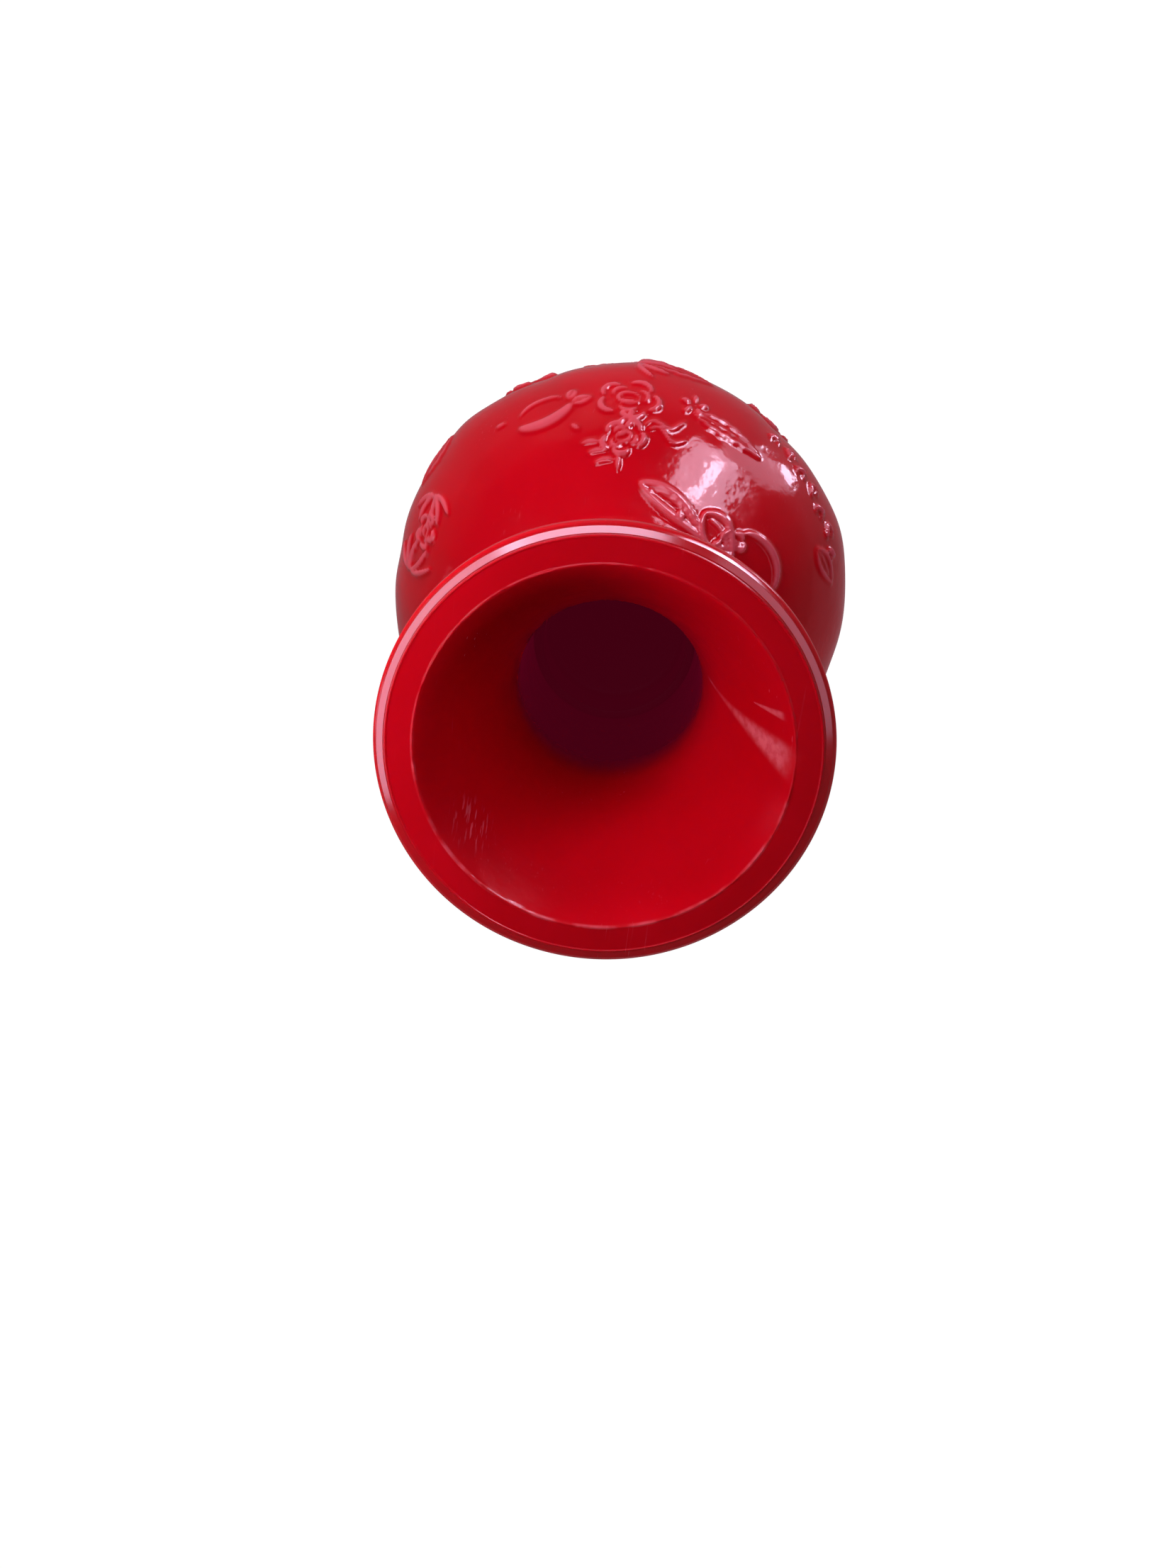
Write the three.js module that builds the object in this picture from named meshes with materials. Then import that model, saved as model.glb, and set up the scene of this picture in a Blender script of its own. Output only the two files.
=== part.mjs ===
// A hand shaker: an egg-shaped sound chamber on a waisted neck that flares into an open bell mouth.
// Millimetres, +Z up. The origin is the centre of the flat foot, and the mouth opens upwards.
//
// How it comes apart: the bell and its stem are one thick moulding. The stem drops through the neck
// collar of the upper egg shell, a cap plug closes the stem's inner end, and the two egg shells meet
// in a spigot joint below the widest girth. Steel pellets lie loose in the closed chamber.
import * as THREE from "three";

// ---- driving dimensions ----
const HEIGHT = 124; // foot to mouth
const FIT_GAP = 0.3; // clearance wherever two pieces meet
const ROUND_STEPS = 48; // facets round every turned piece

const GIRTH_Z = 43.2; // height of the egg's widest girth
const GIRTH_RADIUS = 37.8;
const DOME_RISE = 25.4; // from the girth up to where the egg would close under the neck
const BOWL_DROP = 47; // from the girth down to the egg's far tip, which the foot cuts off
const WALL = 2.4;
const INNER_GIRTH = GIRTH_RADIUS - WALL;
const INNER_RISE = DOME_RISE - WALL;
const INNER_DROP = BOWL_DROP - WALL;
const INNER_DOME_END = 22; // radius where the inside of the dome turns down into the collar
const COLLAR_FOOT_Z = 67; // lowest height of the collar's straight bore

const MOUTH_RADIUS = 22.2; // sharp inner edge of the mouth
const FACE_RADIUS = 25.55; // outer edge of the flat rim face
const LIP_RADIUS = 27; // widest ring of the rolled lip
const LIP_ROOT_RADIUS = 24.8; // centre of the roll that carries the lip's underside
const LIP_ROLL = 3.4; // height of that roll
const LIP_ROUND = 0.6; // rounding between the bevel and the widest ring
const BEVEL_DEGREES = 20; // fall of the lip's upper side, outwards from the face
const BORE_RADIUS = 12.4; // throat and stem bore
const FUNNEL_DEPTH = 29; // from the mouth down to where the bore runs straight
const FUNNEL_CURVE = 1.8; // 1 would be a straight cone

const NECK_RADIUS = 16.2;
const NECK_JOINT_Z = 82; // the bell's shoulder sits here on the neck collar
const FLARE_STEEP = [NECK_RADIUS, 98]; // the flare climbs straight towards this point
const FLARE_SPREAD = [20, 112]; // and reaches the lip from this one
const FLARE_END = [24.3, HEIGHT - 5.6];
const NECK_FOOT_Z = 72; // below this the neck widens into the dome
const DOME_END_RADIUS = 19; // the dome's own curve stops here, at the foot of the neck
const STEM_RADIUS = 13.9;
const STEM_END_Z = 66;

const SEAM_Z = 37; // joint of the two egg shells, just below the girth
const SPIGOT_HEIGHT = 3.2;
const SEAM_SKIN = 0.95; // wall left outside the spigot

const FOOT_RADIUS = 13.6; // flat of the foot
const FOOT_EDGE = 0.9; // height of the foot's rounded edge
const FOOT_EDGE_REACH = 0.9; // how far that edge leans out
const FOOT_EDGE_START = 0.3;

const PLUG_FLANGE = 2;
const PLUG_SKIRT_HEIGHT = 7.3;
const PLUG_WALL = 1.5;

const PELLET_RADIUS = 2.2;
const PELLET_COUNT = 28;
const PELLET_SPREAD = 2.95; // a ball's distance from the axis grows with the square root of its number
const PELLET_REST_GAP = 0.15;
const GOLDEN_ANGLE = Math.PI * (3 - Math.sqrt(5));

// ---- materials ----
const redPlastic = new THREE.MeshStandardMaterial({ color: 0xc40a1c, roughness: 0.25, metalness: 0 });
const darkRubber = new THREE.MeshStandardMaterial({ color: 0x2a0508, roughness: 0.7, metalness: 0 });
const platedSteel = new THREE.MeshStandardMaterial({ color: 0xb9bcc0, roughness: 0.3, metalness: 1 });

// ---- profile helpers: a profile is a list of [radius, height] ----
// An arc of an ellipse, with angles in degrees from the outward radius.
function arc(centreR, centreZ, radiusR, radiusZ, fromDeg, toDeg, steps) {
  return Array.from({ length: steps + 1 }, (_, i) => {
    const angle = THREE.MathUtils.degToRad(fromDeg + ((toDeg - fromDeg) * i) / steps);
    return [centreR + radiusR * Math.cos(angle), centreZ + radiusZ * Math.sin(angle)];
  });
}

// A cubic curve from start to end, pulled towards two handles.
function sweep(start, handleA, handleB, end, steps) {
  const curve = new THREE.CubicBezierCurve(
    ...[start, handleA, handleB, end].map(([r, z]) => new THREE.Vector2(r, z)),
  );
  return curve.getPoints(steps).map((p) => [p.x, p.y]);
}

// Half angle of an ellipse at a height above or below its centre, in degrees.
function angleAt(height, semiAxis) {
  return THREE.MathUtils.radToDeg(Math.asin(height / semiAxis));
}

// The point and the inward slope of an upper ellipse quarter at a given radius.
function domeAt(radius, girth, rise) {
  const share = Math.sqrt(1 - (radius / girth) ** 2);
  return { z: GIRTH_Z + rise * share, slope: ((rise / girth) * (radius / girth)) / share };
}

// A turned piece about +Z. Profiles run with the material on their left, so faces point outwards.
function turned(name, profile, material) {
  const points = profile
    .filter((p, i) => i === 0 || Math.hypot(p[0] - profile[i - 1][0], p[1] - profile[i - 1][1]) > 0.02)
    .map(([r, z]) => new THREE.Vector2(Math.max(r, 0), z));
  const geometry = new THREE.LatheGeometry(points, ROUND_STEPS);
  geometry.rotateX(Math.PI / 2);
  const mesh = new THREE.Mesh(geometry, material);
  mesh.name = name;
  return mesh;
}

// ---- the bell: rim face, rolled lip, flare, neck shoulder, stem, bore and funnel ----
function funnelRadius(depth) {
  const left = Math.max(0, 1 - depth / FUNNEL_DEPTH);
  return BORE_RADIUS + (MOUTH_RADIUS - BORE_RADIUS) * left ** FUNNEL_CURVE;
}

function bellMouth() {
  const bevelReach = LIP_RADIUS - LIP_ROUND - FACE_RADIUS;
  const bevelDrop = bevelReach * Math.tan(THREE.MathUtils.degToRad(BEVEL_DEGREES));
  const ringZ = HEIGHT - bevelDrop - LIP_ROUND;
  const stem = [
    [BORE_RADIUS, STEM_END_Z],
    [STEM_RADIUS, STEM_END_Z],
    [STEM_RADIUS, NECK_JOINT_Z],
    [NECK_RADIUS, NECK_JOINT_Z],
  ];
  const flare = sweep([NECK_RADIUS, NECK_JOINT_Z + 2], FLARE_STEEP, FLARE_SPREAD, FLARE_END, 9);
  const lip = [
    ...arc(LIP_ROOT_RADIUS, ringZ, LIP_RADIUS - LIP_ROOT_RADIUS, LIP_ROLL, -80, 0, 5),
    ...arc(LIP_RADIUS - LIP_ROUND, ringZ, LIP_ROUND, LIP_ROUND, 20, 90 - BEVEL_DEGREES, 3),
    [FACE_RADIUS, HEIGHT],
  ];
  const funnelSteps = 10;
  const funnel = Array.from({ length: funnelSteps + 1 }, (_, i) => {
    const depth = (FUNNEL_DEPTH * i) / funnelSteps;
    return [funnelRadius(depth), HEIGHT - depth];
  });
  return turned("bell_mouth", [...stem, ...flare, ...lip, ...funnel, stem[0]], redPlastic);
}

// ---- the upper egg shell: neck collar, shoulder and the socket half of the seam ----
function upperEggShell() {
  const socketRadius = seamRadius() - SEAM_SKIN;
  const socketTop = SEAM_Z + SPIGOT_HEIGHT + FIT_GAP / 2;
  const collarTop = NECK_JOINT_Z - FIT_GAP;
  const collarBore = STEM_RADIUS + FIT_GAP;

  const shoulder = domeAt(DOME_END_RADIUS, GIRTH_RADIUS, DOME_RISE);
  const outerHandle = [DOME_END_RADIUS - 2, shoulder.z + 2 * shoulder.slope];
  const outerSweep = sweep(
    [NECK_RADIUS, NECK_FOOT_Z], [NECK_RADIUS, COLLAR_FOOT_Z], outerHandle, [DOME_END_RADIUS, shoulder.z], 5,
  ).reverse();

  const inner = domeAt(INNER_DOME_END, INNER_GIRTH, INNER_RISE);
  const innerHandle = [INNER_DOME_END - 4, inner.z + 4 * inner.slope];
  const collarFoot = [collarBore, COLLAR_FOOT_Z];
  const innerSweep = sweep(
    collarFoot, [collarBore, COLLAR_FOOT_Z - WALL], innerHandle, [INNER_DOME_END, inner.z], 4,
  );

  const outerDome = arc(
    0, GIRTH_Z, GIRTH_RADIUS, DOME_RISE, 0, angleAt(shoulder.z - GIRTH_Z, DOME_RISE), 10,
  );
  const innerDome = arc(0, GIRTH_Z, INNER_GIRTH, INNER_RISE, angleAt(inner.z - GIRTH_Z, INNER_RISE), 0, 7);
  const belowGirth = [seamRadius(), SEAM_Z + FIT_GAP / 2];
  return turned(
    "upper_egg_shell",
    [
      belowGirth,
      ...outerDome,
      ...outerSweep,
      [NECK_RADIUS, collarTop],
      [collarBore, collarTop],
      ...innerSweep,
      ...innerDome,
      [INNER_GIRTH, socketTop],
      [socketRadius, socketTop],
      [socketRadius, belowGirth[1]],
      belowGirth,
    ],
    redPlastic,
  );
}

// ---- the lower egg shell: spigot half of the seam, bowl and flat foot ----
function seamRadius() {
  return GIRTH_RADIUS * Math.sqrt(1 - ((GIRTH_Z - SEAM_Z) / BOWL_DROP) ** 2);
}

function lowerEggShell() {
  const spigotRadius = seamRadius() - SEAM_SKIN - FIT_GAP;
  const spigotTop = SEAM_Z + SPIGOT_HEIGHT - FIT_GAP / 2;
  const ledge = SEAM_Z - FIT_GAP / 2;
  const outerBowl = arc(
    0, GIRTH_Z, GIRTH_RADIUS, BOWL_DROP,
    -angleAt(GIRTH_Z - FOOT_EDGE, BOWL_DROP), -angleAt(GIRTH_Z - ledge, BOWL_DROP), 12,
  );
  const innerBowl = arc(
    0, GIRTH_Z, INNER_GIRTH, INNER_DROP,
    -angleAt(GIRTH_Z - spigotTop, INNER_DROP), -angleAt(GIRTH_Z - WALL, INNER_DROP), 12,
  );
  return turned(
    "lower_egg_shell",
    [
      [0, 0],
      [FOOT_RADIUS, 0],
      [FOOT_RADIUS + FOOT_EDGE_REACH, FOOT_EDGE_START],
      ...outerBowl,
      [spigotRadius, ledge],
      [spigotRadius, spigotTop],
      ...innerBowl,
      [0, WALL],
    ],
    redPlastic,
  );
}

// ---- the cap plug that closes the stem: a flange under the stem and a skirt inside its bore ----
function throatPlug() {
  const flangeTop = STEM_END_Z - FIT_GAP;
  const skirtRadius = BORE_RADIUS - FIT_GAP;
  const skirtTop = flangeTop + PLUG_SKIRT_HEIGHT;
  return turned(
    "throat_plug",
    [
      [0, flangeTop - PLUG_FLANGE],
      [STEM_RADIUS, flangeTop - PLUG_FLANGE],
      [STEM_RADIUS, flangeTop],
      [skirtRadius, flangeTop],
      [skirtRadius, skirtTop],
      [skirtRadius - PLUG_WALL, skirtTop],
      [skirtRadius - PLUG_WALL, flangeTop],
      [0, flangeTop],
    ],
    darkRubber,
  );
}

// ---- the loose filling: one layer of shot, each ball in a column of its own ----
// Height of a ball's centre when it rests in the bowl at a distance from the axis.
function restHeight(distance) {
  const reach = PELLET_RADIUS + PELLET_REST_GAP;
  const bowlFloor = (r) => {
    const share = Math.sqrt(1 - (r / INNER_GIRTH) ** 2);
    return Math.max(WALL, GIRTH_Z - INNER_DROP * share);
  };
  let height = 0;
  for (let step = -1; step <= 1; step += 0.05) {
    const under = bowlFloor(distance + step * reach);
    height = Math.max(height, under + reach * Math.sqrt(1 - step ** 2 + 1e-9));
  }
  return height;
}

function pellets() {
  return Array.from({ length: PELLET_COUNT }, (_, i) => {
    const distance = PELLET_SPREAD * Math.sqrt(i + 0.5);
    const angle = i * GOLDEN_ANGLE;
    const ball = new THREE.Mesh(new THREE.IcosahedronGeometry(PELLET_RADIUS, 1), platedSteel);
    ball.name = `pellet_${String(i + 1).padStart(2, "0")}`;
    ball.position.set(distance * Math.cos(angle), distance * Math.sin(angle), restHeight(distance));
    return ball;
  });
}

const shaker = new THREE.Group();
shaker.add(bellMouth(), upperEggShell(), lowerEggShell(), throatPlug(), ...pellets());

export default shaker;
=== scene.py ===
# %% [markdown]
# # A red egg shaker with a bell mouth
# A hand shaker: an egg-shaped chamber full of loose shot, a waisted neck and a flared bell mouth.
# It is moulded in glossy, slightly translucent red plastic, and the egg carries raised floral lines.
# This lesson loads the finished CAD model as a fixed frame and gives every piece its fine surface.

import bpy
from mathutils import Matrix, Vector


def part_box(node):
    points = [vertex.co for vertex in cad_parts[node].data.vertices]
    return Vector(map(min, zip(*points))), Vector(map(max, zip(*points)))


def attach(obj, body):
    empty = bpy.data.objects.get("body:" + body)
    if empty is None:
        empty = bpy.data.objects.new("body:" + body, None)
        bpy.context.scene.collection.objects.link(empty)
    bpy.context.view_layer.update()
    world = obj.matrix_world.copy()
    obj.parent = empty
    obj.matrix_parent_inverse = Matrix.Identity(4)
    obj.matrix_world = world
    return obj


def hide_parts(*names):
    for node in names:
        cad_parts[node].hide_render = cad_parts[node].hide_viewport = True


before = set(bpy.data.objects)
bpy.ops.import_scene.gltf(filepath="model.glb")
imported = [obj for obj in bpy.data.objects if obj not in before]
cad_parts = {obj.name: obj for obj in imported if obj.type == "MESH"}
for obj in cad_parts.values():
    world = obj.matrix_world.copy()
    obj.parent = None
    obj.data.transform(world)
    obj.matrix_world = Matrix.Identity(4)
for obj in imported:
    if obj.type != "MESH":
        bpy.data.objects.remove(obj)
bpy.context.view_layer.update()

# %% Names for numbers that come from the frame
import math

import bpy
import numpy as np
from mathutils import Euler, Quaternion, Vector

MM = 0.001  # shapes are worked out in millimetres and written to the meshes in metres
CASING = "casing"


def corners(node):
    """Lowest and highest corner of a CAD node, in millimetres."""
    return [np.array(corner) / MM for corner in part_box(node)]


bell_low, bell_high = corners("bell_mouth")
_, shell_high = corners("upper_egg_shell")
plug_low, plug_high = corners("throat_plug")

HEIGHT = bell_high[2]  # foot to mouth
LIP_RADIUS = bell_high[0]  # widest ring of the rolled lip
STEM_END = bell_low[2]
GIRTH_RADIUS = shell_high[0]  # the egg's widest girth
COLLAR_TOP = shell_high[2]
STEM_RADIUS = plug_high[0]
print(f"height {HEIGHT:.1f}, lip {LIP_RADIUS:.1f}, girth {GIRTH_RADIUS:.1f}, stem {STEM_RADIUS:.1f} mm")

# %% The rest of the shaker's driving dimensions, in millimetres
GIRTH_Z = 43.2
DOME_RISE = 25.4  # the dome alone would close this far above the girth
BOWL_DROP = 47.0  # and the bowl this far below it, past the foot
WALL = 2.4
MOUTH_RADIUS = 22.2
FACE_RADIUS = 25.6
BORE_RADIUS = 12.4
FUNNEL_DEPTH = 29.0
FUNNEL_CURVE = 1.8
NECK_RADIUS = 16.2
NECK_JOINT_Z = 82.0
SEAM_Z = 37.0
SPIGOT_HEIGHT = 3.2
SEAM_SKIN = 0.95
FOOT_RADIUS = 13.6
SEAM_SLIT = 0.12  # half the open line that shows between two closed pieces
ROUND = 0.35  # radius that a moulded corner is eased to

# %% [markdown]
# ## The camera
# The shaker is seen from in front of its mouth, a little below its axis, so that the egg shows above
# the rim. On a standing shaker that is a camera above the mouth, upside down. It comes first, because
# the lights are placed by what it sees.

# %% Make the camera
CAMERA_PLACE = (0.00128, -0.05436, 0.27899)
CAMERA_TILT = 20.57  # degrees off the shaker's axis
CAMERA_ROLL = 187.13
LENS = 32.55

camera_data = bpy.data.cameras.new("camera")
camera_data.lens = LENS
camera_data.clip_start = 0.01
camera = bpy.data.objects.new("camera", camera_data)
bpy.context.scene.collection.objects.link(camera)
tilt = Euler((math.radians(CAMERA_TILT), 0, 0)).to_matrix()
roll = Euler((0, 0, math.radians(CAMERA_ROLL))).to_matrix()
camera.matrix_world = (tilt @ roll).to_4x4()
camera.location = CAMERA_PLACE
bpy.context.scene.camera = camera
print("camera", tuple(round(v, 4) for v in camera.location))

# %% [markdown]
# ## Turned surfaces
# Every shell here is turned: a closed outline in the radius-height plane, carried once round the
# axis. A Spin modifier would do it, but a grid worked out in numpy can also be pushed in and out at
# each point, which is how the relief is made later. The outline runs with the material on its left,
# so that the faces point outwards.


# %% Outline helpers
def arc(centre, radii, start, stop, steps):
    """Points of an ellipse arc: centre plus (a cos t, b sin t), for t from start to stop in degrees."""
    t = np.radians(np.linspace(start, stop, steps + 1))
    return np.stack([centre[0] + radii[0] * np.cos(t), centre[1] + radii[1] * np.sin(t)], axis=1)


def sweep(start, pull_a, pull_b, stop, steps):
    """Cubic curve: the four points weighted by the Bernstein terms of t."""
    t = np.linspace(0, 1, steps + 1)[:, None]
    a, b, c, d = (np.array(p, float) for p in (start, pull_a, pull_b, stop))
    return a * (1 - t) ** 3 + 3 * b * t * (1 - t) ** 2 + 3 * c * t**2 * (1 - t) + d * t**3


def eased(corner, before, after, radius=ROUND, steps=3):
    """A rounded corner: a curve that leaves the line to 'before' and joins the line to 'after' at
    the given distance from the corner, as a quadratic with the corner as its handle."""
    corner, before, after = (np.array(p, float) for p in (corner, before, after))
    start = corner + radius * (before - corner) / np.linalg.norm(before - corner)
    stop = corner + radius * (after - corner) / np.linalg.norm(after - corner)
    t = np.linspace(0, 1, steps + 1)[:, None]
    return start * (1 - t) ** 2 + 2 * corner * t * (1 - t) + stop * t**2


def line(start, stop, steps):
    """Evenly spaced points from start to stop."""
    return np.linspace(np.array(start, float), np.array(stop, float), steps + 1)


def outline(*runs):
    """Joins runs of points into one outline, and drops a point that repeats the one before it."""
    points = np.vstack([np.atleast_2d(run) for run in runs])
    gap = np.linalg.norm(np.diff(points, axis=0), axis=1)
    return points[np.concatenate([[True], gap > 0.004])]


def outline_normals(points, closed):
    """Right-hand normal of the outline at each point, from the chord between its neighbours."""
    if closed:
        chord = np.roll(points, -1, axis=0) - np.roll(points, 1, axis=0)
    else:
        chord = np.gradient(points, axis=0)
    chord /= np.linalg.norm(chord, axis=1)[:, None]
    return np.stack([chord[:, 1], -chord[:, 0]], axis=1)


# %% From an outline to a mesh
def grid_faces(rows, columns, wrap_rows):
    """Quads of a grid that always closes round its columns and, if asked, round its rows too."""
    i = np.arange(rows if wrap_rows else rows - 1)[:, None]
    j = np.arange(columns)[None, :]
    next_i = (i + 1) % rows
    next_j = (j + 1) % columns
    low, high = i * columns, next_i * columns
    quads = np.stack(np.broadcast_arrays(low + j, low + next_j, high + next_j, high + j), axis=-1)
    return quads.reshape(-1, 4)


def pole_fans(rows, columns):
    """Triangles that close the first and the last row of a grid. The two pole points come after
    all the grid's points."""
    j = np.arange(columns)
    k = (j + 1) % columns
    first, last = np.full(columns, rows * columns), np.full(columns, rows * columns + 1)
    top = (rows - 1) * columns
    return np.vstack([np.stack([first, k, j], axis=1), np.stack([last, top + j, top + k], axis=1)])


def write_mesh(name, points, quads, triangles=None):
    """Puts points in millimetres and faces into a new smooth-shaded object at the origin."""
    mesh = bpy.data.meshes.new(name)
    faces = quads.tolist() + ([] if triangles is None else triangles.tolist())
    mesh.from_pydata((points * MM).tolist(), [], faces)
    mesh.polygons.foreach_set("use_smooth", np.ones(len(faces), dtype=bool))
    mesh.validate()
    mesh.update()
    thing = bpy.data.objects.new(name, mesh)
    bpy.context.scene.collection.objects.link(thing)
    print(f"{name}: {len(points)} points, {len(faces)} faces")
    return thing


def turned(name, profile, columns, closed=True, push=None):
    """Carries a profile round +Z: x = r cos a, y = r sin a. 'push' moves each point along the
    profile's normal by a map of rows by columns. An open profile ends in two single pole points."""
    angle = np.linspace(0, 2 * np.pi, columns, endpoint=False)
    normal = outline_normals(profile, closed)
    push = np.zeros((len(profile), columns)) if push is None else push
    radius = profile[:, :1] + normal[:, :1] * push
    height = profile[:, 1:] + normal[:, 1:] * push
    points = np.stack([radius * np.cos(angle), radius * np.sin(angle), height], axis=-1)
    if closed:
        return write_mesh(name, points.reshape(-1, 3), grid_faces(len(profile), columns, True))
    body = points[1:-1]
    rows = len(body)
    poles = np.array([[0, 0, profile[0, 1]], [0, 0, profile[-1, 1]]])
    points = np.vstack([body.reshape(-1, 3), poles])
    return write_mesh(name, points, grid_faces(rows, columns, False), pole_fans(rows, columns))


# %% [markdown]
# ## The bell
# On the real shaker this is one thick moulding: a flat rim face, a rolled lip with a fine bead
# where the mould's ring met the face, a concave funnel and a bore that runs down the neck. The
# knife-sharp inner edge keeps a thread of flash, which is modelled as a ridge up to a quarter of a
# millimetre high, whose height wanders round the rim.


# %% Outline of the bell
def funnel_radius(depth):
    """Bore radius, plus what is left of the flare: (1 - depth / full depth) to a power."""
    left = np.clip(1 - depth / FUNNEL_DEPTH, 0, 1)
    return BORE_RADIUS + (MOUTH_RADIUS - BORE_RADIUS) * left**FUNNEL_CURVE


FLARE_STEEP = (NECK_RADIUS, 98)  # handles of the flare's curve, near the neck and near the lip
FLARE_SPREAD = (20, 112)
FLARE_END = (24.3, HEIGHT - 5.6)
LIP_DROP = 1.6  # from the face down to the lip's widest ring
LIP_ROOT = 24.8  # radius of the centre that the lip's underside turns about
LIP_ROLL = 3.4  # height of the underside's curve
LIP_ROUND = 0.6  # radius of the eased edge above the widest ring
BEVEL = 17  # slope in degrees of the bevel between the face and that edge
BEVEL_END = LIP_RADIUS - 0.45
BEAD = 0.1


def bell_outline():
    """Stem, neck, flare, lip, bead, face, flash, funnel and bore, as one closed outline."""
    lip_z = HEIGHT - LIP_DROP
    flare_foot = (NECK_RADIUS, NECK_JOINT_Z + SEAM_SLIT - 0.1)
    stem = outline(
        eased((STEM_RADIUS, STEM_END), (BORE_RADIUS, STEM_END), (STEM_RADIUS, NECK_JOINT_Z)),
        line((STEM_RADIUS, STEM_END + 0.6), (STEM_RADIUS, NECK_JOINT_Z - 0.4), 8),
        line((STEM_RADIUS, flare_foot[1]), (NECK_RADIUS - 0.3, flare_foot[1]), 4),
        arc((NECK_RADIUS - 0.3, flare_foot[1] + 0.3), (0.3, 0.3), -80, 0, 3),
    )
    flare = sweep((NECK_RADIUS, NECK_JOINT_Z + 2), FLARE_STEEP, FLARE_SPREAD, FLARE_END, 34)
    under_lip = arc((LIP_ROOT, lip_z), (LIP_RADIUS - LIP_ROOT, LIP_ROLL), -84, 0, 16)
    bevel_z = HEIGHT - (BEVEL_END - FACE_RADIUS) * math.tan(math.radians(BEVEL))
    over_lip = outline(
        arc((LIP_RADIUS - LIP_ROUND, bevel_z - 0.9), (LIP_ROUND, 0.75), 0, 74, 9),
        line((BEVEL_END, bevel_z - 0.16), (FACE_RADIUS + 0.06, HEIGHT - 0.2), 10),
    )
    bead_top = arc((FACE_RADIUS - 0.2, HEIGHT - 0.14), (BEAD, BEAD), 20, 160, 6)
    bead = outline((FACE_RADIUS - 0.02, HEIGHT - 0.24), bead_top)
    face = line((FACE_RADIUS - 0.45, HEIGHT - 0.12), (MOUTH_RADIUS + 0.35, HEIGHT - 0.12), 9)
    depth = np.concatenate([[0.25, 0.5], np.linspace(1.0, FUNNEL_DEPTH, 44)])
    funnel = np.stack([funnel_radius(depth), HEIGHT - depth], axis=1)
    flash = np.array([
        (MOUTH_RADIUS + 0.18, HEIGHT - 0.1),
        (MOUTH_RADIUS + 0.08, HEIGHT - 0.02),
        (MOUTH_RADIUS - 0.02, HEIGHT - 0.06),
    ])
    bore = line((BORE_RADIUS, HEIGHT - FUNNEL_DEPTH - 1), (BORE_RADIUS, STEM_END + 0.4), 14)
    bottom = eased((BORE_RADIUS, STEM_END), (BORE_RADIUS, STEM_END + 5), (STEM_RADIUS, STEM_END))
    return outline(stem, flare, under_lip, over_lip, bead, face, flash, funnel, bore, bottom)


# %% Make the bell
BELL_COLUMNS = 320
FLASH_WIDTH = 0.14
FLASH_HEIGHT = 0.09
SWAY = 0.05  # how far the bell's wall wanders from true round


def wander(angle, seed, waves=7):
    """A closed random line round the axis: sine waves with seeded heights and starts, scaled to +-1."""
    rng = np.random.default_rng(seed)
    order = np.arange(1, waves + 1)[:, None]
    height = rng.normal(size=(waves, 1)) / np.sqrt(order)
    start = rng.uniform(0, 6.3, (waves, 1))
    wave = (height * np.sin(order * angle + start)).sum(0)
    return wave / np.abs(wave).max()


bell_profile = bell_outline()
bell_angle = np.linspace(0, 2 * np.pi, BELL_COLUMNS, endpoint=False)
from_edge = (bell_profile[:, 0] - MOUTH_RADIUS) / FLASH_WIDTH
flash_share = np.exp(-(from_edge**2)) * (bell_profile[:, 1] > HEIGHT - 0.15)
ragged = wander(bell_angle * 9, 5, 12) + 0.6 * wander(bell_angle * 31, 6, 9)
flash_push = flash_share[:, None] * FLASH_HEIGHT * ragged
sway = SWAY * wander(bell_angle, 11)[None, :] * np.clip((bell_profile[:, 1:] - 100) / 20, 0, 1)
bell = turned("bell_mouth_moulding", bell_profile, BELL_COLUMNS, push=flash_push + sway)

# %% [markdown]
# ## Relief lines
# The egg is covered with raised floral lines about a millimetre wide: roses, leaves, stems, buds
# and chains of drops. They could be curves laid on the shell, but moulded lines flow out of the
# surface, so here they are a height map. A motif is a set of strokes drawn in millimetres round a
# centre on the egg, and each stroke raises the points near it to a rounded ridge.


# %% Strokes of a motif, as paths in millimetres
def toward(degrees, reach):
    """The point at an angle and a distance from the motif's centre."""
    return reach * np.array([np.cos(np.radians(degrees)), np.sin(np.radians(degrees))])


def bow(centre, radii, start, stop, steps=14):
    """A piece of an ellipse, for petals and crescents."""
    return arc(centre, radii, start, stop, steps)


def curl(centre, radius, turns, start=0.0, steps=40):
    """A spiral that opens evenly from a sixth of its radius: r grows with the angle."""
    t = np.linspace(0, 1, steps + 1)
    return np.array(centre) + toward(start + 360 * turns * t, radius * (1 / 6 + 5 / 6 * t)).T


def beside(start, stop, steps, offset):
    """A line from start to stop, pushed sideways by offset(t) where t is the share of the way."""
    start, along = np.array(start, float), np.subtract(stop, start, dtype=float)
    t = np.linspace(0, 1, steps + 1)[:, None]
    side = np.array([-along[1], along[0]]) / np.linalg.norm(along)
    return start + along * t + side * offset(t)


def ripple(start, stop, swing, waves, steps=30):
    """A line that swings sideways as a sine."""
    return beside(start, stop, steps, lambda t: swing * np.sin(2 * np.pi * waves * t))


def blade(start, stop, width, teeth=0, steps=26):
    """One edge of a leaf: the sine of its length times its width, with teeth as a faster ripple."""
    return beside(start, stop, steps, lambda t: (
        width * np.sin(np.pi * t**0.8) * (1 + 0.35 * np.abs(np.sin(np.pi * teeth * t)))
    ))


# %% Motifs: each is a list of (path, half width, crest height)
FINE, PLAIN, BOLD = 0.55, 0.66, 0.95  # half widths
LOW, MIDDLE, HIGH = 0.32, 0.45, 0.65  # crest heights


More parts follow.
